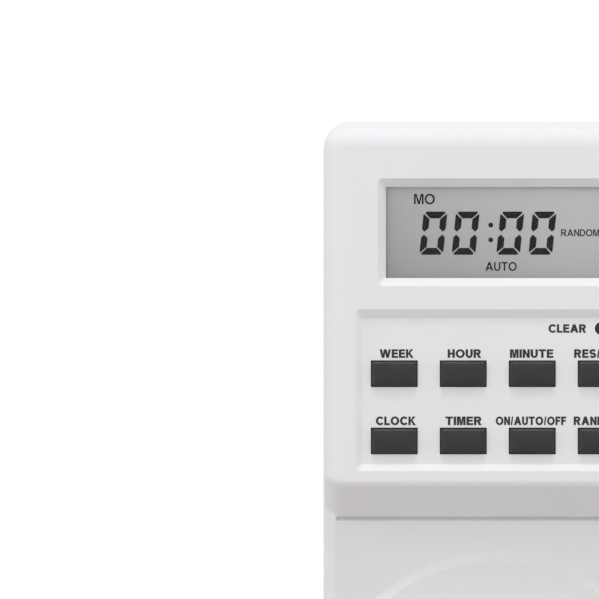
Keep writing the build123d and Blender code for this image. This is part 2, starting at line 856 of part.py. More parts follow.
def varistor():
    """Round varistor on its edge, with two leads into the board."""
    x, drop, width, thick, rise = varistor_place
    z = top_height - drop
    centre = power_front - rise + width / 2
    disc = Pos(x, centre, z) * Cylinder(width / 2, thick)
    for side in (-1, 1):
        place = Pos(x + side * varistor_pitch / 2, z)
        disc += prism(place * RegularPolygon(lead_radius, 6), power_front, centre)
    return disc


def electrolytic_capacitor():
    """Upright can."""
    x, drop = electrolytic_place
    can = post(x, top_height - drop, power_front, power_front - electrolytic_rise, electrolytic_radius)
    return chamfer(can.faces().sort_by(Axis.Y)[0].edges(), can_bevel)


def bent_lead(x, z, length, across):
    """A lead from the board through a lying part and back down to the board."""
    out = length / 2 - lead_root + lead_reach
    y = power_front - lead_reach
    start, stop = [(x - out, z), (x + out, z)] if across else [(x, z - out), (x, z + out)]
    points = [(start[0], power_front, start[1]), (start[0], y, start[1]), (stop[0], y, stop[1])]
    return wire(points + [(stop[0], power_front, stop[1])], lead_radius)


def fuse_resistor():
    """Fusible resistor that lies across the board on its leads."""
    x, drop = resistor_place
    z = top_height - drop
    body = Pos(x, power_front - lead_reach, z) * Rot(0, 90, 0) * Cylinder(resistor_radius, resistor_length)
    return body + bent_lead(x, z, resistor_length, True)


def rectifier_diodes():
    """Four diodes in a row."""
    x, drop = diode_place
    z = top_height - drop
    diodes = []
    for place in range(4):
        at = x + place * diode_pitch
        body = Pos(at, power_front - lead_reach, z) * Cylinder(diode_radius, diode_length)
        diodes.append(body + bent_lead(at, z, diode_length, False))
    return Compound(children=diodes)


def board_link():
    """Pin header that joins the two boards."""
    x, drop = link_place
    z = top_height - drop
    bar = (link_pins * link_pitch, link_pitch)
    link = prism(Pos(x, z) * Rectangle(*bar), power_front, power_front - link_pitch)
    for place in range(link_pins):
        at = x + (place - (link_pins - 1) / 2) * link_pitch
        link += prism(Pos(at, z) * Rectangle(link_pin, link_pin), power_front, control_rear)
    return link


def control_chip():
    """Bonded chip under a low dome of resin, on the control board's rear."""
    x, drop = chip_place
    place = Pos(x, control_rear + chip_rise / 2, top_height - drop)
    return place * Rot(-90, 0, 0) * Cone(chip_radius, chip_crown, chip_rise)


def quartz_crystal():
    """Small can that lies on the control board."""
    x, drop = crystal_place
    place = Pos(x, control_rear + crystal_radius, top_height - drop)
    return place * Rot(0, 90, 0) * Cylinder(crystal_radius, crystal_length)


def backup_battery():
    """Button cell that keeps the time through a power cut."""
    x, drop = battery_place
    return post(x, top_height - drop, control_rear + battery_thick, control_rear, battery_radius)


def battery_tab():
    """Welded tab from the cell's rear face down to the control board."""
    x, drop = battery_place
    z = top_height - drop
    y = control_rear + battery_thick + tab_thick / 2
    foot = z - battery_radius - tab_out
    strip = Plane.YZ.offset(x) * ribbon([(y, z + tab_lap), (y, foot), (control_rear, foot)], tab_thick)
    return extrude(strip, amount=tab_width / 2, both=True)


lower, upper = key_z[1], key_z[0]
pieces = {
    "front_housing": front_housing(),
    "rear_housing": rear_housing(),
    "display_window": display_window(),
    "lcd_panel": lcd_panel(),
    "lcd_carrier": lcd_carrier(),
    "zebra_strips": zebra_strips(),
    "control_board": control_board(),
    "control_chip": control_chip(),
    "quartz_crystal": quartz_crystal(),
    "backup_battery": backup_battery(),
    "battery_tab": battery_tab(),
    "keypad_mat": keypad_mat(),
    "key_week": key(key_x[0], upper),
    "key_hour": key(key_x[1], upper),
    "key_minute": key(key_x[2], upper),
    "key_recall": key(key_x[3], upper),
    "key_clock": key(key_x[0], lower),
    "key_timer": key(key_x[1], lower),
    "key_mode": key(key_x[2], lower),
    "key_random": key(key_x[3], lower),
    "key_clear": clear_key(),
    "board_link": board_link(),
    "power_board": power_board(),
    "relay": relay(),
    "film_capacitor": film_capacitor(),
    "electrolytic_capacitor": electrolytic_capacitor(),
    "rectifier_diodes": rectifier_diodes(),
    "fuse_resistor": fuse_resistor(),
    "varistor": varistor(),
    "contact_block": contact_block(),
    "live_contact": power_contact(pin_x),
    "neutral_contact": power_contact(-pin_x),
    "earth_contact": earth_contact(),
    "live_strap": live_strap(),
    "neutral_strap": neutral_strap(),
    "switched_strap": switched_strap(),
    "live_pin": power_pin_solid(pin_x),
    "neutral_pin": power_pin_solid(-pin_x),
    "earth_pin": tapped_pin(0, earth_z, earth_pin_size, earth_reach),
    "pin_sleeves": pin_sleeves(),
    "shutter": shutter(),
    "shutter_spring": shutter_spring(),
    "housing_screws": housing_screws(),
    "control_screws": control_screws(),
    "power_screws": power_screws(),
}

os.makedirs("parts", exist_ok=True)
for name, solid in pieces.items():
    export_step(solid, f"parts/{name}.step")
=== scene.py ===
import json
from math import cos, pi, radians, sin, tan

import bmesh
import bpy
from mathutils import Matrix, Vector

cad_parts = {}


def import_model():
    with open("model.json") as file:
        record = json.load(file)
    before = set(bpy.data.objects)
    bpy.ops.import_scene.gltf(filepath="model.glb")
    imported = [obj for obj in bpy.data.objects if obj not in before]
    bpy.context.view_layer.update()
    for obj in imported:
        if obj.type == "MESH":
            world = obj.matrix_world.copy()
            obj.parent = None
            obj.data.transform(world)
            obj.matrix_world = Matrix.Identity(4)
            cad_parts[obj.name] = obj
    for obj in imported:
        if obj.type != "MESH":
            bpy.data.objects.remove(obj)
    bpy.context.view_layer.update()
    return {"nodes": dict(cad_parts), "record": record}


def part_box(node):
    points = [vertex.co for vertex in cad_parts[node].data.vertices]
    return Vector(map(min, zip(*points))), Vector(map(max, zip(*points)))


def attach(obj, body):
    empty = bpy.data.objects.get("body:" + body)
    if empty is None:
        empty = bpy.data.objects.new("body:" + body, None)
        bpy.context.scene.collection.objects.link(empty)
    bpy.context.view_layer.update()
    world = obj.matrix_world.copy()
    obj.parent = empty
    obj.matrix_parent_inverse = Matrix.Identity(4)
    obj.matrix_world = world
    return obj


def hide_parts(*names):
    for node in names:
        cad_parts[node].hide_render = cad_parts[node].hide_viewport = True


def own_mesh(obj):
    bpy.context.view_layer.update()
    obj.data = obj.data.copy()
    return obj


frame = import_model()
millimetre = 0.001
print("frame loaded:", len(frame["nodes"]), "pieces")


# Node trees: arithmetic on a wire adds Math nodes to its tree

class Wire:
    def __init__(self, tree, socket):
        self.tree = tree
        self.socket = socket

    def maths(self, operation, other=0.0, swapped=False):
        first, second = (other, self) if swapped else (self, other)
        return self.tree.add("ShaderNodeMath", {"operation": operation}, {0: first, 1: second})

    def __add__(self, other):
        return self.maths("ADD", other)

    def __sub__(self, other):
        return self.maths("SUBTRACT", other)

    def __rsub__(self, other):
        return self.maths("SUBTRACT", other, True)

    def __mul__(self, other):
        return self.maths("MULTIPLY", other)

    def __truediv__(self, other):
        return self.maths("DIVIDE", other)

    def __rtruediv__(self, other):
        return self.maths("DIVIDE", other, True)

    def __pow__(self, other):
        return self.maths("POWER", other)

    def __rpow__(self, other):
        return self.maths("POWER", other, True)

    def between(self, low, high):
        return self.maths("MAXIMUM", low).maths("MINIMUM", high)

    __radd__ = __add__
    __rmul__ = __mul__


class Tree:
    def __init__(self, nodeTree):
        self.nodes = nodeTree.nodes
        self.links = nodeTree.links

    # Settings go on first, then values, wires or a list of wires by a socket's name or number
    def add(self, kind, settings=None, sockets=None, output=0):
        node = self.nodes.new(kind)
        for name, value in (settings or {}).items():
            if name == "stops":
                self.setStops(node.color_ramp, value)
            else:
                setattr(node, name, value)
        for key, value in (sockets or {}).items():
            socket = node.inputs[key]
            wires = value if isinstance(value, list) else [value]
            if isinstance(wires[0], Wire):
                for wire in wires:
                    self.links.new(wire.socket, socket)
            elif socket.type == "RGBA" and len(value) == 3:
                socket.default_value = (*value, 1.0)
            else:
                socket.default_value = value
        return Wire(self, node.outputs[output]) if len(node.outputs) else None

    def setStops(self, ramp, stops):
        while len(ramp.elements) < len(stops):
            ramp.elements.new(1.0)
        for element, (position, value) in zip(ramp.elements, stops):
            element.position = position
            element.color = (value, value, value, 1.0)


class Finish(Tree):
    def __init__(self, name):
        self.material = bpy.data.materials.new(name)
        self.material.use_nodes = True
        super().__init__(self.material.node_tree)
        self.nodes.clear()
        self.place = self.add("ShaderNodeTexCoord", output="Object")

    def blend(self, share, first, second):
        return self.add("ShaderNodeMix", {"data_type": "RGBA"}, {0: share, 6: first, 7: second}, 2)

    def noise(self, scale, detail=2.0, roughness=0.5, where=None):
        sockets = {"Vector": where or self.place, "Scale": scale, "Detail": detail, "Roughness": roughness}
        return self.add("ShaderNodeTexNoise", {}, sockets)

    def stretched(self, scale):
        return self.add("ShaderNodeMapping", {}, {"Vector": self.place, "Scale": scale})

    def ramp(self, value, *stops):
        return self.add("ShaderNodeValToRGB", {"stops": stops}, {0: value})

    def roughness(self, limits, share):
        low, high = limits
        return low + (high - low) * share

    def bump(self, height, depth, below=None):
        sockets = {"Height": height, "Distance": depth, "Strength": 1.0}
        if below:
            sockets["Normal"] = below
        return self.add("ShaderNodeBump", {}, sockets)

    def surface(self, **sockets):
        named = {key.replace("_", " "): value for key, value in sockets.items()}
        shader = self.add("ShaderNodeBsdfPrincipled", {}, named)
        self.add("ShaderNodeOutputMaterial", {}, {"Surface": shader})
        return self.material


# Finishes

mouldedLooks = {
    "white_shell": {
        "colour": (0.852, 0.862, 0.886), "shade": (0.828, 0.838, 0.862), "mottle": 38, "grain": 3600,
        "grainDepth": 2.2e-6, "wave": 240, "waveDepth": 1.2e-5, "rough": (0.50, 0.58), "gloss": 0.3,
    },
    "charcoal_key": {
        "colour": (0.029, 0.029, 0.029), "shade": (0.0245, 0.0245, 0.0245), "mottle": 300, "grain": 6000,
        "grainDepth": 5e-6, "wave": 420, "waveDepth": 2.5e-5, "rough": (0.26, 0.34), "gloss": 0.4,
    },
    "black_plastic": {
        "colour": (0.026, 0.026, 0.027), "shade": (0.018, 0.018, 0.019), "mottle": 90, "grain": 4500,
        "grainDepth": 6e-6, "wave": 300, "waveDepth": 2e-5, "rough": (0.38, 0.52),
    },
    "grey_rubber": {
        "colour": (0.27, 0.275, 0.285), "shade": (0.22, 0.225, 0.235), "mottle": 120, "grain": 5200,
        "grainDepth": 8e-6, "wave": 200, "waveDepth": 2e-5, "rough": (0.62, 0.78),
    },
    "relay_case": {
        "colour": (0.020, 0.052, 0.150), "shade": (0.014, 0.040, 0.120), "mottle": 70, "grain": 4200,
        "grainDepth": 4e-6, "wave": 210, "waveDepth": 1.5e-5, "rough": (0.28, 0.40),
    },
    "yellow_case": {
        "colour": (0.62, 0.43, 0.045), "shade": (0.54, 0.36, 0.035), "mottle": 80, "grain": 4200,
        "grainDepth": 4e-6, "wave": 230, "waveDepth": 1.5e-5, "rough": (0.30, 0.44),
    },
    "sleeve_plastic": {
        "colour": (0.020, 0.020, 0.021), "shade": (0.014, 0.014, 0.015), "mottle": 110, "grain": 5200,
        "grainDepth": 5e-6, "wave": 320, "waveDepth": 1.6e-5, "rough": (0.30, 0.44),
    },
    "shutter_plastic": {
        "colour": (0.66, 0.66, 0.65), "shade": (0.60, 0.60, 0.59), "mottle": 60, "grain": 4800,
        "grainDepth": 3e-6, "wave": 260, "waveDepth": 1.4e-5, "rough": (0.30, 0.42),
    },
    "grey_ceramic": {
        "colour": (0.30, 0.34, 0.33), "shade": (0.22, 0.26, 0.25), "mottle": 260, "grain": 3800,
        "grainDepth": 1.4e-5, "wave": 420, "waveDepth": 4e-5, "rough": (0.50, 0.70),
    },
    "blue_coating": {
        "colour": (0.045, 0.105, 0.330), "shade": (0.030, 0.075, 0.250), "mottle": 160, "grain": 2600,
        "grainDepth": 6e-6, "wave": 380, "waveDepth": 5e-5, "rough": (0.22, 0.36),
    },
    "black_resin": {
        "colour": (0.015, 0.015, 0.016), "shade": (0.009, 0.009, 0.010), "mottle": 120, "grain": 2200,
        "grainDepth": 5e-6, "wave": 180, "waveDepth": 6e-5, "rough": (0.18, 0.30),
    },
    "legend_ink": {
        "colour": (0.046, 0.046, 0.048), "shade": (0.036, 0.036, 0.038), "mottle": 900, "grain": 9000,
        "grainDepth": 2e-6, "wave": 1500, "waveDepth": 2e-6, "rough": (0.45, 0.60), "gloss": 0.2,
    },
    "display_segment": {
        "colour": (0.020, 0.018, 0.017), "shade": (0.015, 0.013, 0.012), "mottle": 500, "grain": 9000,
        "grainDepth": 1e-6, "wave": 900, "waveDepth": 1e-6, "rough": (0.25, 0.35), "gloss": 0.1,
    },
}


# Satin moulding: soft mottling of the colour, a fine spark-eroded grain and the mould's slow wave
def mouldedFinish(name, look):
    finish = Finish(name)
    mottle = finish.noise(look["mottle"], detail=3.0)
    grain = finish.noise(look["grain"], detail=1.0)
    relief = finish.bump(finish.noise(look["wave"]), look["waveDepth"])
    return finish.surface(
        Base_Color=finish.blend(mottle, look["colour"], look["shade"]),
        Roughness=finish.roughness(look["rough"], 0.5 * mottle + 0.5 * grain),
        Normal=finish.bump(grain, look["grainDepth"], relief),
        Specular_IOR_Level=look.get("gloss", 0.5),
    )


metalLooks = {
    "brass_pin": {
        "colour": (0.73, 0.54, 0.27), "dull": (0.66, 0.47, 0.22), "streak": (900, 40, 900),
        "rough": (0.18, 0.30), "stain": 60, "depth": 3e-6,
    },
    "bronze_spring": {
        "colour": (0.66, 0.38, 0.19), "dull": (0.50, 0.26, 0.12), "streak": (60, 1300, 1300),
        "rough": (0.20, 0.38), "stain": 120, "depth": 3e-6,
    },
    "bright_can": {
        "colour": (0.74, 0.75, 0.77), "dull": (0.62, 0.63, 0.65), "streak": (1400, 90, 1400),
        "rough": (0.20, 0.34), "stain": 140, "depth": 3e-6,
    },
    "steel_can": {
        "colour": (0.62, 0.61, 0.59), "dull": (0.52, 0.51, 0.49), "streak": (500, 500, 500),
        "rough": (0.14, 0.28), "stain": 160, "depth": 2e-6,
    },
    "nickel_strip": {
        "colour": (0.66, 0.63, 0.57), "dull": (0.55, 0.52, 0.47), "streak": (1600, 1600, 80),
        "rough": (0.22, 0.36), "stain": 200, "depth": 2e-6,
    },
    "spring_wire": {
        "colour": (0.52, 0.52, 0.52), "dull": (0.38, 0.38, 0.38), "streak": (2400, 2400, 900),
        "rough": (0.18, 0.32), "stain": 400, "depth": 2e-6,
    },
    "zinc_screw": {
        "colour": (0.60, 0.61, 0.62), "dull": (0.50, 0.50, 0.48), "streak": (1800, 1800, 1800),
        "rough": (0.24, 0.42), "stain": 500, "depth": 3e-6,
    },
}
# The same on every metal; the share is how much of the roughness follows it
tarnishLook = {"clear": 0.42, "full": 0.72, "contrast": 0.6, "share": 0.4}


# Drawn or pressed metal: streaks along the way it was worked, and a light tarnish in patches
def metalFinish(name, look):
    wear = tarnishLook
    finish = Finish(name)
    along = finish.stretched(look["streak"])
    streak = finish.noise(1.0, detail=3.0, roughness=wear["contrast"], where=along)
    patches = finish.noise(look["stain"], detail=4.0, roughness=wear["contrast"])
    tarnish = finish.ramp(patches, (wear["clear"], 0.0), (wear["full"], 1.0))
    return finish.surface(
        Base_Color=finish.blend(tarnish, look["colour"], look["dull"]),
        Metallic=1.0,
        Roughness=finish.roughness(look["rough"], (1 - wear["share"]) * streak + wear["share"] * tarnish),
        Normal=finish.bump(streak, look["depth"]),
    )


# The stretch keeps a track's shape through the board's thickness
boardLook = {
    "mask": (0.020, 0.115, 0.040), "overCopper": (0.045, 0.190, 0.065), "stretch": (1.0, 0.02, 1.0),
    "traceScale": 420, "traceWidth": 0.10, "traceEdge": 0.05, "traceDepth": 2.5e-5, "disorder": 0.45,
    "weave": 1300, "mortar": 0.08, "weaveDepth": 3e-6, "patches": 300, "rough": (0.24, 0.36),
}


# Green solder mask over copper tracks, with the glass weave faintly proud
def boardFinish():
    look = boardLook
    finish = Finish("circuit_board")
    cells = finish.add(
        "ShaderNodeTexVoronoi",
        {"feature": "DISTANCE_TO_EDGE", "distance": "MANHATTAN"},
        {
            "Vector": finish.stretched(look["stretch"]), "Scale": look["traceScale"],
            "Randomness": look["disorder"],
        },
    )
    width = look["traceWidth"]
    track = finish.ramp(cells, (width, 1.0), (width + look["traceEdge"], 0.0))
    sockets = {"Vector": finish.place, "Scale": look["weave"], "Mortar Size": look["mortar"]}
    weave = finish.add("ShaderNodeTexBrick", {}, sockets, "Fac")
    relief = finish.bump(track, look["traceDepth"])
    return finish.surface(
        Base_Color=finish.blend(track, look["mask"], look["overCopper"]),
        Roughness=finish.roughness(look["rough"], finish.noise(look["patches"])),
        Normal=finish.bump(weave, look["weaveDepth"], relief),
    )


# Heights and widths in millimetres; the sheen is (height above the centre, width of its edge, strength) of a
# painted highlight along the display's top edge, which lightens the shade cast there by the recess's top wall
glassLook = {
    "grey": (0.73, 0.733, 0.73), "dim": (0.45, 0.451, 0.45), "centre": 82.35, "tilt": 0.31,
    "reach": 24.0, "paintedTopHighlight": (6.7, 1.1, 0.3), "grain": 5200, "grainDepth": 1.5e-6, "rough": (0.34, 0.46),
    "metal": 0.6, "gloss": 0.2,
}


# Satin reflective polariser; its colour is a painted reflection, ramped a little brighter towards the upper
# right, plus a painted highlight along its top edge
def displayFinish():
    look = glassLook
    finish = Finish("lcd_glass")
    along = finish.add("ShaderNodeSeparateXYZ", {}, {0: finish.place}, "X")
    upward = finish.add("ShaderNodeSeparateXYZ", {}, {0: finish.place}, "Z")
    rise = upward - look["centre"] * millimetre
    # Painted reflection: the colour ramps from dim at the lower left to grey at the upper right
    slant = (along * look["tilt"] + rise) / (look["reach"] * millimetre) + 0.5
    start, width, lift = look["paintedTopHighlight"]
    # Painted highlight: the colour is lifted along the top edge to lighten the shade that the recess's top
    # wall casts there
    paintedTopHighlight = ((rise - start * millimetre) / (width * millimetre)).between(0.0, 1.0)
    share = (slant + paintedTopHighlight * lift).between(0.0, 1.0)
    speck = finish.noise(look["grain"], detail=1.0)
    return finish.surface(
        Base_Color=finish.blend(share, look["dim"], look["grey"]),
        Metallic=look["metal"],
        Specular_IOR_Level=look["gloss"],
        Roughness=finish.roughness(look["rough"], speck),
        Normal=finish.bump(speck, look["grainDepth"]),
    )


windowLook = {
    "tint": (0.10, 0.11, 0.11), "face": 0.035, "rim": 0.55, "grazing": 0.25, "fall": 3.0, "index": 1.58,
    "rough": (0.03, 0.07), "smear": 130, "smearDepth": 4e-6,
}


# Clear window: nearly invisible face on, whiter where it is seen along its surface
def windowFinish():
    look = windowLook
    finish = Finish("clear_window")
    facing = finish.add("ShaderNodeLayerWeight", {}, {"Blend": look["grazing"]}, "Facing")
    smear = finish.noise(look["smear"], detail=3.0)
    return finish.surface(
        Base_Color=look["tint"],
        Roughness=finish.roughness(look["rough"], smear),
        Alpha=look["face"] + look["rim"] * facing ** look["fall"],
        Normal=finish.bump(smear, look["smearDepth"]),
        IOR=look["index"],
    )


finishes = {name: mouldedFinish(name, look) for name, look in mouldedLooks.items()}
finishes.update({name: metalFinish(name, look) for name, look in metalLooks.items()})
finishes["circuit_board"] = boardFinish()
finishes["lcd_glass"] = displayFinish()
finishes["clear_window"] = windowFinish()
for part in frame["record"]["subparts"]:
    mesh = frame["nodes"][part["node"]].data
    mesh.materials.clear()
    mesh.materials.append(finishes[part["material_slot"]])
print("finishes:", len(finishes))


# Geometry Nodes trees

class Growth(Tree):
    kinds = {int: "NodeSocketInt", float: "NodeSocketFloat", tuple: "NodeSocketVector"}

    def __init__(self, name, sizes):
        self.group = bpy.data.node_groups.new(name, "GeometryNodeTree")
        super().__init__(self.group)
        face = self.group.interface
        face.new_socket("Geometry", in_out="INPUT", socket_type="NodeSocketGeometry")
        face.new_socket("Geometry", in_out="OUTPUT", socket_type="NodeSocketGeometry")
        self.keys = {}
        for label, value in sizes.items():
            socket = face.new_socket(label, in_out="INPUT", socket_type=self.kinds[type(value)])
            socket.default_value = value
            self.keys[label] = socket.identifier
        self.start = self.add("NodeGroupInput")

    def size(self, label):
        return Wire(self, self.start.socket.node.outputs[label])

    def vector(self, x=0.0, y=0.0, z=0.0):
        return self.add("ShaderNodeCombineXYZ", {}, {"X": x, "Y": y, "Z": z})

    def pair(self, offset, start=(0.0, 0.0, 0.0)):
        return self.add("GeometryNodeMeshLine", {}, {"Count": 2, "Start Location": start, "Offset": offset})

    def spread(self, points, instance, rotation=(0.0, 0.0, 0.0)):
        sockets = {"Points": points, "Instance": instance, "Rotation": rotation}
        return self.add("GeometryNodeInstanceOnPoints", {}, sockets)

    def close(self, geometry, material):
        real = self.add("GeometryNodeRealizeInstances", {}, {"Geometry": geometry})
        painted = self.add("GeometryNodeSetMaterial", {}, {"Geometry": real, "Material": material})
        self.add("NodeGroupOutput", {}, {"Geometry": painted})

    # Runs the tree on a mesh and hands back a plain object
    def grow(self, name, values, start=None):
        live = newObject(name + "Seed", start or bpy.data.meshes.new(name + "Seed"))
        modifier = live.modifiers.new("growth", "NODES")
        modifier.node_group = self.group
        for label, value in values.items():
            modifier[self.keys[label]] = value
        return plainObject(name, live)


def newObject(name, data):
    item = bpy.data.objects.new(name, data)
    bpy.context.scene.collection.objects.link(item)
    return item


def plainObject(name, live):
    bpy.context.view_layer.update()
    seen = live.evaluated_get(bpy.context.evaluated_depsgraph_get())
    mesh = bpy.data.meshes.new_from_object(seen)
    mesh.name = name
    bpy.data.objects.remove(live)
    return newObject(name, mesh)


def settle(piece, body, slot, *nodes):
    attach(piece, body)
    if nodes:
        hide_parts(*nodes)


def closeMesh(mesh):
    tiny = 1e-7  # metres
    work = bmesh.new()
    work.from_mesh(mesh)
    bmesh.ops.remove_doubles(work, verts=work.verts, dist=tiny)
    bmesh.ops.recalc_face_normals(work, faces=work.faces)
    work.to_mesh(mesh)
    work.free()


def easeEdges(mesh, degrees):
    mesh.polygons.foreach_set("use_smooth", [True] * len(mesh.polygons))
    mesh.set_sharp_from_angle(angle=radians(degrees))


def freeMesh(work, name):
    mesh = bpy.data.meshes.new(name)
    work.to_mesh(mesh)
    work.free()
    return mesh


# Lettering: plain grotesque capitals, one unit high, drawn from a stem and a bar width

def arc(x, z, across, up, start, stop, steps=12):
    turns = [radians(start + (stop - start) * step / steps) for step in range(steps + 1)]
    return [(x + across * cos(turn), z + up * sin(turn)) for turn in turns]


def stroke(points, width):
    left, right = [], []
    for step, point in enumerate(points):
        before, after = points[max(step - 1, 0)], points[min(step + 1, len(points) - 1)]
        across = Vector((before[1] - after[1], after[0] - before[0])).normalized() * width / 2
        left.append((point[0] + across.x, point[1] + across.y))
        right.append((point[0] - across.x, point[1] - across.y))
    return left + right[::-1]


def capitals(stem, bar):
    half = bar / 2
    over = 0.012  # round letters reach this far past the straight ones
    leg, apex = stem * 1.1, stem * 0.56
    lean, cross = 0.5 - apex, 0.22
    legEdge = [leg + lean * cross, leg + lean * (cross + bar)]
    bowl = 0.295
    serpent = (0.5 - half) / 2
    upperLoop = arc(0.4, 0.5 + serpent, 0.41 - stem / 2, serpent + over, 22, 270)
    lowerLoop = arc(0.4, 0.5 - serpent, 0.41 - stem / 2, serpent + over, 90, -158)
    return {
        "I": (stem, [[(0, 0), (stem, 0), (stem, 1), (0, 1)]]),
        "/": (0.34, [[(0, 0), (stem * 0.7, 0), (0.34, 1), (0.34 - stem * 0.7, 1)]]),
        "H": (0.8, [[
            (0, 0), (stem, 0), (stem, 0.5 - half), (0.8 - stem, 0.5 - half), (0.8 - stem, 0), (0.8, 0),
            (0.8, 1), (0.8 - stem, 1), (0.8 - stem, 0.5 + half), (stem, 0.5 + half), (stem, 1), (0, 1),
        ]]),
        "E": (0.74, [[
            (0, 0), (0.74, 0), (0.74, bar), (stem, bar), (stem, 0.52 - half), (0.69, 0.52 - half),
            (0.69, 0.52 + half), (stem, 0.52 + half), (stem, 1 - bar), (0.72, 1 - bar), (0.72, 1), (0, 1),
        ]]),
        "F": (0.68, [[
            (0, 0), (stem, 0), (stem, 0.5 - half), (0.6, 0.5 - half), (0.6, 0.5 + half), (stem, 0.5 + half),
            (stem, 1 - bar), (0.68, 1 - bar), (0.68, 1), (0, 1),
        ]]),
        "L": (0.68, [[(0, 0), (0.68, 0), (0.68, bar), (stem, bar), (stem, 1), (0, 1)]]),
        "T": (0.82, [[
            (0.41 - stem / 2, 0), (0.41 + stem / 2, 0), (0.41 + stem / 2, 1 - bar), (0.82, 1 - bar),
            (0.82, 1), (0, 1), (0, 1 - bar), (0.41 - stem / 2, 1 - bar),
        ]]),
        "N": (0.8, [[
            (0, 0), (stem, 0), (stem, 1 - 1.7 * stem), (0.8 - stem, 0), (0.8, 0), (0.8, 1), (0.8 - stem, 1),
            (0.8 - stem, 1.7 * stem), (stem, 1), (0, 1),
        ]]),
        "M": (0.97, [[
            (0, 0), (stem * 0.95, 0), (stem * 0.95, 1 - stem), (0.485 - stem / 2, 0), (0.485 + stem / 2, 0),
            (0.97 - stem * 0.95, 1 - stem), (0.97 - stem * 0.95, 0), (0.97, 0), (0.97, 1),
            (0.97 - stem * 1.45, 1), (0.485, stem * 1.5), (stem * 1.45, 1), (0, 1),
        ]]),
        "W": (1.32, [[
            (0.25, 0), (0.25 + leg, 0), (0.66, 1 - stem * 1.4), (1.07 - leg, 0), (1.07, 0), (1.32, 1),
            (1.32 - leg, 1), (0.96, stem * 1.6), (0.66 + leg / 2, 1), (0.66 - leg / 2, 1), (0.36, stem * 1.6),
            (leg, 1), (0, 1),
        ]]),
        "K": (0.9, [[
            (0, 0), (stem, 0), (stem, 0.3), (0.34, 0.45), (0.9 - stem * 1.25, 0), (0.9, 0), (0.48, 0.59),
            (0.87, 1), (0.87 - stem * 1.3, 1), (stem, 0.56), (stem, 1), (0, 1),
        ]]),
        "A": (1.0, [
            [
                (0, 0), (leg, 0), (legEdge[0], cross), (1 - legEdge[0], cross), (1 - leg, 0), (1, 0),
                (0.5 + apex, 1), (0.5 - apex, 1),
            ],
            [(legEdge[1], cross + bar), (1 - legEdge[1], cross + bar), (0.5, (0.5 - leg) / lean)],
        ]),
        "O": (1.04, [
            arc(0.52, 0.5, 0.52, 0.5 + over, 0, 350, 35),
            arc(0.52, 0.5, 0.52 - stem, 0.5 + over - bar, 0, 350, 35),
        ]),
        "C": (0.93, [
            arc(0.51, 0.5, 0.51, 0.5 + over, 38, 322, 26)
            + arc(0.51, 0.5, 0.51 - stem, 0.5 + over - bar, 322, 38, 26)
        ]),
        "U": (0.8, [
            [(0, 1)] + arc(0.4, 0.38, 0.4, 0.38 + over, 180, 360) + [(0.8, 1), (0.8 - stem, 1)]
            + arc(0.4, 0.38, 0.4 - stem, 0.38 + over - bar, 360, 180) + [(stem, 1)]
        ]),
        "D": (0.84, [
            [(0, 0)] + arc(0.38, 0.5, 0.46, 0.5, -90, 90) + [(0, 1)],
            [(stem, bar)] + arc(0.38, 0.5, 0.46 - stem, 0.5 - bar, -90, 90) + [(stem, 1 - bar)],
        ]),
        "R": (0.86, [
            [(0, 0), (stem, 0), (stem, 0.4), (0.36, 0.4), (0.86 - stem * 1.2, 0), (0.86, 0), (0.62, 0.42)]
            + arc(0.52, 0.7, bowl, 0.3, -55, 90) + [(0, 1)],
            [(stem, 0.4 + bar)] + arc(0.5, 0.7, bowl + 0.02 - stem, 0.3 - bar, -90, 90) + [(stem, 1 - bar)],
        ]),
        "S": (0.8, [stroke(upperLoop[:-1] + lowerLoop[1:], (stem + bar) / 2)]),
    }


# Words are (text, (left, right, low, high)) in millimetres; all stand proud of one surface
def lettering(name, words, surface, look, finish):
    letters = capitals(*look["weight"])
    between, depth = look["between"], look["proud"]
    curve = bpy.data.curves.new(name, "CURVE")
    curve.dimensions = "2D"
    curve.fill_mode = "BOTH"
    curve.extrude = depth / 2
    for text, (left, right, low, high) in words:
        run = sum(letters[letter][0] for letter in text) + between * (len(text) - 1)
        stretch, x = (right - left) / run, left
        for letter in text:
            width, outlines = letters[letter]
            for outline in outlines:
                spline = curve.splines.new("POLY")
                spline.points.add(len(outline) - 1)
                spline.use_cyclic_u = True
                for point, (across, up) in zip(spline.points, outline):
                    point.co = (x + across * stretch, low + up * (high - low), 0, 1)
            x += (width + between) * stretch
    piece = plainObject(name, newObject(name + "Curve", curve))
    bpy.data.curves.remove(curve)
    middle = Matrix.Translation((0, (surface - depth / 2) * millimetre, 0))
    piece.data.transform(middle @ Matrix.Rotation(pi / 2, 4, "X") @ Matrix.Scale(millimetre, 4))
    closeMesh(piece.data)
    piece.data.materials.clear()
    piece.data.materials.append(finishes[finish])
    return piece


def centreOf(node):
    low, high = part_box(node)
    return (low + high) / 2 / millimetre


keyLip = 0.9  # a key's lip reaches this far past its cap all round


def keyTop(node):
    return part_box(node)[1].z / millimetre - keyLip


# Each key's word, its width, and how far its middle lies from its key's; CLEAR's left, right and height
legendLook = {
    "words": {
        "key_week": ("WEEK", 5.87, 0.41), "key_hour": ("HOUR", 5.78, 0.2),
        "key_minute": ("MINUTE", 7.5, -0.1), "key_recall": ("RES/RCL", 8.5, -0.43),
        "key_clock": ("CLOCK", 6.9, 0.27), "key_timer": ("TIMER", 6.25, 0.05),
        "key_mode": ("ON/AUTO/OFF", 12.17, -0.22), "key_random": ("RANDOM", 8.3, -0.6),
    },
    "cap": 1.47, "above": 0.59, "clear": (8.75, 15.25, 1.45), "aheadOfClear": 0.1, "proud": 0.03,
    "weight": (0.27, 0.225), "between": 0.09,
}


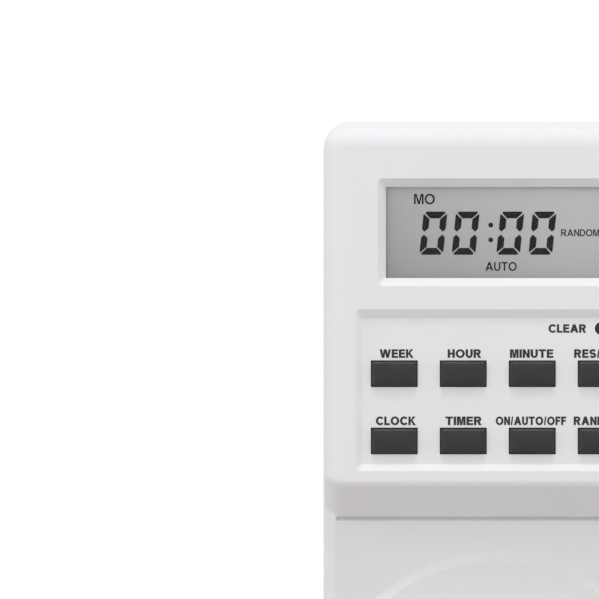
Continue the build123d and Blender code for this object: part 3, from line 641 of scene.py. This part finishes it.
def keyLegends():
    look = legendLook
    words = []
    for node, (text, width, aside) in look["words"].items():
        low = keyTop(node) + look["above"]
        x = centreOf(node).x + aside
        words.append((text, (x - width / 2, x + width / 2, low, low + look["cap"])))
    left, right, cap = look["clear"]
    z = centreOf("key_clear").z
    words.append(("CLEAR", (left, right, z - cap / 2, z + cap / 2)))
    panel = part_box("key_clear")[0].y / millimetre - look["aheadOfClear"]
    settle(lettering("keyLegends", words, panel, look, "legend_ink"), "housing", "charcoal_key")


keyLegends()

displayLook = {
    "words": [
        ("MO", (-14.43, -10.83, 87.25, 89.03)),
        ("RANDOM", (10.95, 17.55, 81.72, 82.92)),
        ("AUTO", (-2.1, 3.3, 75.75, 77.27)),
    ],
    "proud": 0.03, "weight": (0.185, 0.165), "between": 0.11,
}
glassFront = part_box("lcd_panel")[0].y / millimetre
# An upright's shoulder is (across, drop, lower drop) under the cut, its throat (in from the bar, under it)
# and its waist (above the middle, across, rise outside, rise inside); the colon is (x, z, pitch, radius)
digitLook = {
    "width": 4.1, "height": 7.45, "bar": 1.17, "cut": 0.28, "chip": 0.22, "bevel": 0.92, "slant": 6.0,
    "shoulder": (0.1, 0.13, 0.3), "throat": (0.03, 0.17), "waist": (0.25, 0.45, 0.48, 0.62),
    "digitPitch": 5.57, "pairPitch": 13.27, "left": -13.53, "low": 78.53, "colon": (-1.19, 81.1, 2.55, 0.42),
    "dotSides": 24,
}


# A zero in seven-segment form, with its waist left open for the bar that isn't lit
def zeroMesh():
    look = digitLook
    width, height, bar = look["width"], look["height"], look["bar"]
    cut, chip, bevel = look["cut"], look["chip"], look["bevel"]
    across = [
        (cut + chip, height), (width - cut - chip, height), (width - cut, height - chip),
        (width - cut - bevel, height - bar), (cut + bevel, height - bar), (cut, height - chip),
    ]
    shoulder, drop, lowerDrop = look["shoulder"]
    inner, under = bar - look["throat"][0], height - bar - look["throat"][1]
    waist, point, outside, inside = look["waist"]
    tip = height / 2 + waist
    upright = [
        (0.0, height - cut - lowerDrop), (shoulder, height - cut - drop), (inner, under),
        (inner, tip + inside), (point, tip), (0.0, tip + outside),
    ]
    outlines = [across, [(x, height - z) for x, z in across]]
    for flipX in (False, True):
        for flipZ in (False, True):
            outlines.append([(width - x if flipX else x, height - z if flipZ else z) for x, z in upright])
    lean = tan(radians(look["slant"]))
    front = (glassFront - displayLook["proud"]) * millimetre
    work = bmesh.new()
    for outline in outlines:
        rim = [work.verts.new(((x + z * lean) * millimetre, front, z * millimetre)) for x, z in outline]
        work.faces.new(rim)
    grown = bmesh.ops.extrude_face_region(work, geom=work.faces[:])
    back = [item for item in grown["geom"] if isinstance(item, bmesh.types.BMVert)]
    bmesh.ops.translate(work, verts=back, vec=(0, displayLook["proud"] * millimetre, 0))
    bmesh.ops.recalc_face_normals(work, faces=work.faces)
    return freeMesh(work, "zero")


def displayDigits():
    look = digitLook
    colonX, colonZ, dotPitch, dotRadius = look["colon"]
    places = {
        "Digit Pitch": look["digitPitch"], "Pair Pitch": look["pairPitch"], "Left": look["left"],
        "Low": look["low"], "Colon X": colonX, "Colon Z": colonZ, "Dot Pitch": dotPitch,
        "Dot Radius": dotRadius, "Front": glassFront, "Proud": displayLook["proud"],
    }
    sizes = {label: value * millimetre for label, value in places.items()}
    tree = Growth("displayDigits", sizes)
    digits = tree.spread(tree.pair(tree.vector(x=tree.size("Digit Pitch"))), tree.start)
    corner = tree.vector(x=tree.size("Left"), z=tree.size("Low"))
    clock = tree.spread(tree.pair(tree.vector(x=tree.size("Pair Pitch")), corner), digits)
    disc = tree.add(
        "GeometryNodeMeshCylinder", {},
        {"Vertices": look["dotSides"], "Radius": tree.size("Dot Radius"), "Depth": tree.size("Proud")},
    )
    depth = tree.size("Front") - tree.size("Proud") * 0.5
    lower = tree.vector(tree.size("Colon X"), depth, tree.size("Colon Z"))
    centres = tree.pair(tree.vector(z=tree.size("Dot Pitch")), lower)
    dots = tree.spread(centres, disc, (pi / 2, 0.0, 0.0))
    both = tree.add("GeometryNodeJoinGeometry", {}, {"Geometry": [clock, dots]})
    tree.close(both, finishes["display_segment"])
    return tree.grow("displayDigits", sizes, zeroMesh())


settle(displayDigits(), "housing", "lcd_glass")
words = lettering("displayWords", displayLook["words"], glassFront, displayLook, "display_segment")
settle(words, "housing", "lcd_glass")
print("lettering done")


# Pieces with curved or repeated forms

# One ring of a rounded rectangle, from its half width and half height in millimetres
def roundedRing(work, centre, halfX, halfZ, corner, y, steps=5):
    ring = []
    for quarter, (signX, signZ) in enumerate(((1, 1), (-1, 1), (-1, -1), (1, -1))):
        turn = radians(90 * quarter)
        x = centre[0] + signX * (halfX - corner)
        z = centre[1] + signZ * (halfZ - corner)
        for step in range(steps + 1):
            angle = turn + radians(90 * step / steps)
            point = Vector((x + corner * cos(angle), y, z + corner * sin(angle)))
            ring.append(work.verts.new(point * millimetre))
    return ring


# One ring of a cross, from the half length and half width of its arms
def crossRing(work, centre, arm, slot, y):
    ring = []
    for quarter in range(4):
        turn = Matrix.Rotation(radians(-90 * quarter), 2)
        for point in ((slot, arm), (slot, slot), (arm, slot)):
            aside = turn @ Vector(point)
            corner = Vector((centre[0] + aside.x, y, centre[1] + aside.y))
            ring.append(work.verts.new(corner * millimetre))
    return ring


def bridge(work, first, second):
    for step in range(len(first)):
        after = (step + 1) % len(first)
        work.faces.new((first[step], first[after], second[after], second[step]))


# Rings joined one to the next, with a flat face at each end
def shell(work, rings):
    for first, second in zip(rings, rings[1:]):
        bridge(work, first, second)
    work.faces.new(rings[0])
    work.faces.new(rings[-1][::-1])


def shellPiece(name, work, sharp, finish):
    mesh = freeMesh(work, name)
    closeMesh(mesh)
    easeEdges(mesh, sharp)
    mesh.materials.append(finishes[finish])
    return newObject(name, mesh)


# Rings are (inset, how far behind the front); the lip's two faces lie that far ahead of the stem's end
capLook = {
    "rings": [
        (0.0, 0.62), (0.02, 0.56), (0.15, 0.54), (0.17, 0.34), (0.22, 0.18), (0.31, 0.1),
        (0.44, 0.07), (0.7, 0.042), (0.95, 0.022), (1.3, 0.006), (1.8, 0.0),
    ],
    "roundRings": [(0.0, 0.22), (0.04, 0.1), (0.14, 0.02), (0.25, 0.0)],
    "corner": 0.34, "leastCorner": 0.12, "lipCorner": 0.6, "lip": (1.35, 2.3), "steps": 8, "sharp": 32,
    "stem": (1.5, 0.5), "roundStem": (0.75, 0.5), "stemLap": 0.05,
}
keyNodes = list(legendLook["words"]) + ["key_clear"]


def keyCap(node):
    look = capLook
    low, high = (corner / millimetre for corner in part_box(node))
    centre = ((low.x + high.x) / 2, (low.z + high.z) / 2)
    lipX, lipZ = centre[0] - low.x, centre[1] - low.z
    isRound = node == "key_clear"
    lipCorner = lipX if isRound else look["lipCorner"]
    backs = [high.y - ahead for ahead in look["lip"]]
    work = bmesh.new()
    steps = look["steps"]
    rings = [roundedRing(work, centre, lipX, lipZ, lipCorner, y, steps) for y in backs]
    capX, capZ = lipX - keyLip, lipZ - keyLip
    corner = capX if isRound else look["corner"]
    rings.append(roundedRing(work, centre, capX, capZ, corner, backs[-1], steps))
    for inset, behind in look["roundRings" if isRound else "rings"]:
        eased = max(corner - inset, look["leastCorner"])
        rings.append(roundedRing(work, centre, capX - inset, capZ - inset, eased, low.y + behind, steps))
    shell(work, rings)
    arm, slot = look["roundStem" if isRound else "stem"]
    shell(work, [crossRing(work, centre, arm, slot, y) for y in (high.y, backs[0] - look["stemLap"])])
    piece = shellPiece(node.replace("key_", "cap_"), work, look["sharp"], "charcoal_key")
    settle(piece, node.replace("key_", "") + "_key", "charcoal_key", node)


for node in keyNodes:
    keyCap(node)
print("key caps done")


# Each dome's rings are (height above the sheet, inset from its base, corner radius)
matLook = {
    "sheet": 1.0, "corner": 1.6, "edge": 0.12, "base": (3.5, 2.5), "clearShare": 0.6,
    "rings": [
        (-0.05, 0.0, 0.9), (0.0, 0.0, 0.9), (0.12, 0.1, 0.9), (0.55, 0.52, 0.85), (0.85, 0.86, 0.8),
        (0.98, 0.98, 0.75), (1.08, 1.04, 0.7), (1.48, 1.1, 0.65), (1.56, 1.14, 0.6), (1.6, 1.24, 0.5),
    ],
    "pressed": 0.7, "sharp": 40,
}


def keypadMat():
    look = matLook
    low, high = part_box("keypad_mat")
    rear, front = high.y / millimetre, high.y / millimetre - look["sheet"]
    centre = centreOf("keypad_mat")
    halfX, halfZ = (high.x - low.x) / 2 / millimetre, (high.z - low.z) / 2 / millimetre
    edge, corner = look["edge"], look["corner"]
    work = bmesh.new()
    shell(work, [
        roundedRing(work, (centre.x, centre.z), halfX - inset, halfZ - inset, corner - inset, y)
        for inset, y in ((edge, rear), (0.0, rear - edge), (0.0, front + edge), (edge, front))
    ])
    sheet = shellPiece("keypadSheet", work, look["sharp"], "grey_rubber")
    settle(sheet, "housing", "grey_rubber", "keypad_mat")
    baseX, baseZ = look["base"]
    for node in keyNodes:
        share = look["clearShare"] if node == "key_clear" else 1.0
        key = centreOf(node)
        work = bmesh.new()
        shell(work, [
            roundedRing(
                work, (key.x, key.z), (baseX - inset) * share, (baseZ - inset) * share,
                corner * share, front - rise,
            )
            for rise, inset, corner in look["rings"]
        ])
        dome = shellPiece(node.replace("key_", "dome_"), work, look["sharp"], "grey_rubber")
        settle(dome, "housing", "grey_rubber", "keypad_mat")
        node.replace("key_", "") + "_press"
        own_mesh(dome)


keypadMat()
print("keypad mat done")


# A helix whose end turns lie closed, swept with a round or many-sided wire
def coilTree():
    sizes = {
        "Steps": 8, "Turns": 1.0, "Closed": 0.0, "Coil Radius": 0.001, "Wire Radius": 0.0001, "Rise": 0.001,
        "Sides": 3,
    }
    tree = Growth("coil", sizes)
    steps, turns, closed = (tree.size(label) for label in ("Steps", "Turns", "Closed"))
    index = tree.add("GeometryNodeInputIndex")
    turn = index / steps * turns
    thick = tree.size("Wire Radius") * 2.0
    pitch = (tree.size("Rise") - thick * closed * 2.0) / (turns - closed * 2.0)
    ends = turn.maths("MINIMUM", closed) + (turn - turns + closed).maths("MAXIMUM", 0.0)
    height = thick * ends + pitch * (turn - ends)
    angle = turn * (2 * pi)
    radius = tree.size("Coil Radius")
    point = tree.vector(radius * angle.maths("COSINE"), radius * angle.maths("SINE"), height)
    line = tree.add("GeometryNodeMeshLine", {}, {"Count": steps + 1.0})
    helix = tree.add("GeometryNodeSetPosition", {}, {"Geometry": line, "Position": point})
    path = tree.add("GeometryNodeMeshToCurve", {}, {"Mesh": helix})
    path = tree.add("GeometryNodeSetCurveNormal", {"mode": "Z_UP"}, {"Curve": path})
    section = tree.add(
        "GeometryNodeCurvePrimitiveCircle", {},
        {"Resolution": tree.size("Sides"), "Radius": tree.size("Wire Radius")},
    )
    sockets = {"Curve": path, "Profile Curve": section, "Fill Caps": True}
    wire = tree.add("GeometryNodeCurveToMesh", {}, sockets)
    tree.close(wire, finishes["spring_wire"])
    return tree


coils = coilTree()
# The coil's own sizes are in metres; the travel is the shutter's, in millimetres
springLook = {
    "coil": {
        "Steps": 168, "Turns": 7.0, "Closed": 1.0, "Coil Radius": 0.00085, "Wire Radius": 0.00015,
        "Rise": 0.00746, "Sides": 10,
    },
    "travel": 5.4, "sharp": 60,
}


def shutterSpring():
    look = springLook
    low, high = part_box("shutter_spring")
    centre = (low + high) / 2
    piece = coils.grow("shutterCoil", look["coil"])
    piece.data.transform(Matrix.Translation((centre.x, centre.y, low.z + look["coil"]["Wire Radius"])))
    closeMesh(piece.data)
    easeEdges(piece.data, look["sharp"])
    settle(piece, "housing", "spring_wire", "shutter_spring")
    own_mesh(piece)


shutterSpring()
print("shutter spring done")


# Head and shank sizes in millimetres; a screw's head lies on the +Y side of its seat unless it is turned
screwLooks = {
    "housing_screws": {
        "head": 2.7, "thick": 1.9, "shank": 1.2, "length": 14.0, "pitch": 1.0, "turned": False, "seed": 3,
    },
    "control_screws": {
        "head": 2.0, "thick": 1.4, "shank": 0.9, "length": 4.5, "pitch": 0.7, "turned": False, "seed": 7,
    },
    "power_screws": {
        "head": 2.0, "thick": 1.4, "shank": 0.9, "length": 4.5, "pitch": 0.7, "turned": True, "seed": 11,
    },
}
# The head's outline from its face to its seat and its recess, as shares of its radius and thickness; the
# point's length and flat, the thread's ridge and its run-out in millimetres
headLook = {
    "outline": [(0.60, 1.0), (0.78, 0.95), (0.91, 0.82), (0.985, 0.6), (1.0, 0.36), (1.0, 0.06), (0.96, 0.0)],
    "arm": 0.50, "slot": 0.13, "armBelow": 0.24, "slotBelow": 0.07, "deep": 0.62, "around": 40,
    "tip": 1.6, "tipShare": 0.25, "tipFlat": 0.05, "ridge": 0.17, "runOut": 0.3, "perTurn": 20, "sharp": 35,
}


def ringEdges(work, ring):
    work.edges.ensure_lookup_table()
    found = []
    for pair in zip(ring, ring[1:] + ring[:1]):
        found.append(work.edges.get(pair) or work.edges.new(pair))
    return found


# One screw about the Y axis, with its seat at the origin
def screwMesh(name, look):
    shape = headLook
    around = shape["around"]
    head, thick, core = look["head"], look["thick"], look["shank"] - shape["ridge"]
    tip = min(shape["tip"], look["length"] / 3)
    outline = [(head * out, thick * up) for out, up in shape["outline"]]
    outline += [
        (core, 0.0), (core, tip - look["length"]),
        (core * shape["tipShare"], shape["tipFlat"] - look["length"]),
    ]
    work = bmesh.new()
    rings = []
    for radius, y in outline:
        angles = [2 * pi * step / around for step in range(around)]
        points = [Vector((radius * cos(angle), y, radius * sin(angle))) for angle in angles]
        rings.append([work.verts.new(point * millimetre) for point in points])
    for first, second in zip(rings, rings[1:]):
        bridge(work, first, second)
    work.faces.new(rings[-1])
    mouth = crossRing(work, (0, 0), head * shape["arm"], head * shape["slot"], thick)
    depth = thick * (1 - shape["deep"])
    floor = crossRing(work, (0, 0), head * shape["armBelow"], head * shape["slotBelow"], depth)
    bridge(work, mouth, floor)
    work.faces.new(floor)
    rims = [edge for ring in (rings[0], mouth) for edge in ringEdges(work, ring)]
    bmesh.ops.triangle_fill(work, use_beauty=True, edges=rims, normal=(0, 1, 0))
    bmesh.ops.recalc_face_normals(work, faces=work.faces)
    run = look["length"] - tip
    turns = run / look["pitch"]
    ridge = coils.grow(name + "Thread", {
        "Steps": int(turns * shape["perTurn"]), "Turns": turns, "Closed": 0.0,
        "Coil Radius": core * millimetre, "Wire Radius": shape["ridge"] * millimetre,
        "Rise": (run - shape["runOut"]) * millimetre, "Sides": 4,
    })
    start = Matrix.Translation((0, (tip - look["length"]) * millimetre, 0))
    ridge.data.transform(start @ Matrix.Rotation(-pi / 2, 4, "X"))
    closeMesh(ridge.data)
    work.from_mesh(ridge.data)
    bpy.data.objects.remove(ridge)
    mesh = freeMesh(work, name)
    if look["turned"]:
        mesh.transform(Matrix.Rotation(pi, 4, "Z"))
    easeEdges(mesh, shape["sharp"])
    return mesh


# Four like screws at the corners of a rectangle, each driven home at its own angle
def screwTree():
    sizes = {"Corner": (0.0, 0.0, 0.0), "Across": 0.05, "Up": 0.05, "Seed": 1}
    tree = Growth("screwSet", sizes)
    row = tree.pair(tree.vector(x=tree.size("Across")), tree.size("Corner"))
    column = tree.pair(tree.vector(z=tree.size("Up")))
    corners = tree.add("GeometryNodeRealizeInstances", {}, {"Geometry": tree.spread(row, column)})
    limits = {2: 0.0, 3: 2 * pi, "Seed": tree.size("Seed")}
    spin = tree.vector(y=tree.add("FunctionNodeRandomValue", {"data_type": "FLOAT"}, limits, 1))
    tree.close(tree.spread(corners, tree.start, spin), finishes["zinc_screw"])
    return tree


def screwSets():
    tree = screwTree()
    for node, look in screwLooks.items():
        low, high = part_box(node)
        radius, thick = look["head"] * millimetre, look["thick"] * millimetre
        seat = low.y + thick if look["turned"] else high.y - thick
        values = {
            "Corner": (low.x + radius, seat, low.z + radius), "Across": high.x - low.x - 2 * radius,
            "Up": high.z - low.z - 2 * radius, "Seed": look["seed"],
        }
        piece = tree.grow(node.replace("_s", "S"), values, screwMesh(node, look))
        settle(piece, "housing", "zinc_screw", node)


screwSets()
print("screws done")


# Studio: white all round at eye level, soft light from above and a weak fill from the left, on a pale table

# The surround ends where the sine of the elevation is the band, and fades into the zenith from there
worldLook = {"surround": 1.02, "zenith": 0.02, "band": 0.72, "fade": 0.12}
# Half width and depth range in metres, height in millimetres
tableLook = {
    "half": 1.0, "near": -3.0, "far": 1.0, "z": -29.1,
    "pale": (0.57, 0.53, 0.50), "speck": (0.55, 0.51, 0.48), "grain": 900, "rough": (0.6, 0.7),
}
# Azimuth, elevation, size in metres and power in watts of each lamp
lampLook = {
    "aim": (0.0, -0.03, 0.06), "distance": 1.3,
    "lamps": {
        "overhead": (0.0, 72.0, 0.35, 5.5), "softbox": (0.0, 60.0, 0.6, 1.2), "fill": (-75.0, 5.0, 0.8, 1.45),
    },
}
# Millimetres; the span is the width of the view at the object's front
cameraLook = {
    "aimX": -34.2, "aimZ": 70.8, "front": -40.0, "distance": 3000.0, "span": 103.3, "sensor": 36.0,
    "nearest": 50.0, "farthest": 50000.0,
}


def world():
    look = worldLook
    scenery = bpy.data.worlds.new("studio")
    bpy.context.scene.world = scenery
    scenery.use_nodes = True
    tree = Tree(scenery.node_tree)
    tree.nodes.clear()
    direction = tree.add("ShaderNodeTexCoord", output="Generated")
    height = tree.add("ShaderNodeSeparateXYZ", {}, {0: direction}, "Z").maths("ABSOLUTE")
    stops = [(look["band"], look["surround"]), (look["band"] + look["fade"], look["zenith"])]
    colour = tree.add("ShaderNodeValToRGB", {"stops": stops}, {0: height})
    light = tree.add("ShaderNodeBackground", {}, {"Color": colour, "Strength": 1.0})
    tree.add("ShaderNodeOutputWorld", {}, {"Surface": light})


def table():
    look = tableLook
    half, near, far = look["half"], look["near"], look["far"]
    z = look["z"] * millimetre
    mesh = bpy.data.meshes.new("table")
    corners = [(-half, near, z), (half, near, z), (half, far, z), (-half, far, z)]
    mesh.from_pydata(corners, [], [(0, 1, 2, 3)])
    finish = Finish("paleTable")
    speck = finish.noise(look["grain"])
    finish.surface(
        Base_Color=finish.blend(speck, look["pale"], look["speck"]),
        Roughness=finish.roughness(look["rough"], speck),
    )
    mesh.materials.append(finish.material)
    newObject("table", mesh)


def areaLight(name, azimuth, elevation, size, power):
    light = bpy.data.lights.new(name, "AREA")
    light.shape = "DISK"
    light.size = size
    light.energy = power
    lamp = newObject(name, light)
    turn, lift = radians(azimuth), radians(elevation)
    back = Vector((sin(turn) * cos(lift), -cos(turn) * cos(lift), sin(lift)))
    lamp.location = Vector(lampLook["aim"]) + back * lampLook["distance"]
    lamp.rotation_euler = back.to_track_quat("Z", "Y").to_euler()


def camera():
    look = cameraLook
    lens = bpy.data.cameras.new("camera")
    lens.sensor_width = look["sensor"]
    lens.lens = lens.sensor_width * look["distance"] / look["span"]
    lens.clip_start = look["nearest"] * millimetre
    lens.clip_end = look["farthest"] * millimetre
    view = newObject("camera", lens)
    y = (look["front"] - look["distance"]) * millimetre
    view.location = (look["aimX"] * millimetre, y, look["aimZ"] * millimetre)
    view.rotation_euler = (pi / 2, 0.0, 0.0)
    bpy.context.scene.camera = view


world()
table()
for name, settings in lampLook["lamps"].items():
    areaLight(name, *settings)
camera()
bpy.context.scene.view_settings.view_transform = "Standard"
print("studio ready")

bpy.context.view_layer.update()
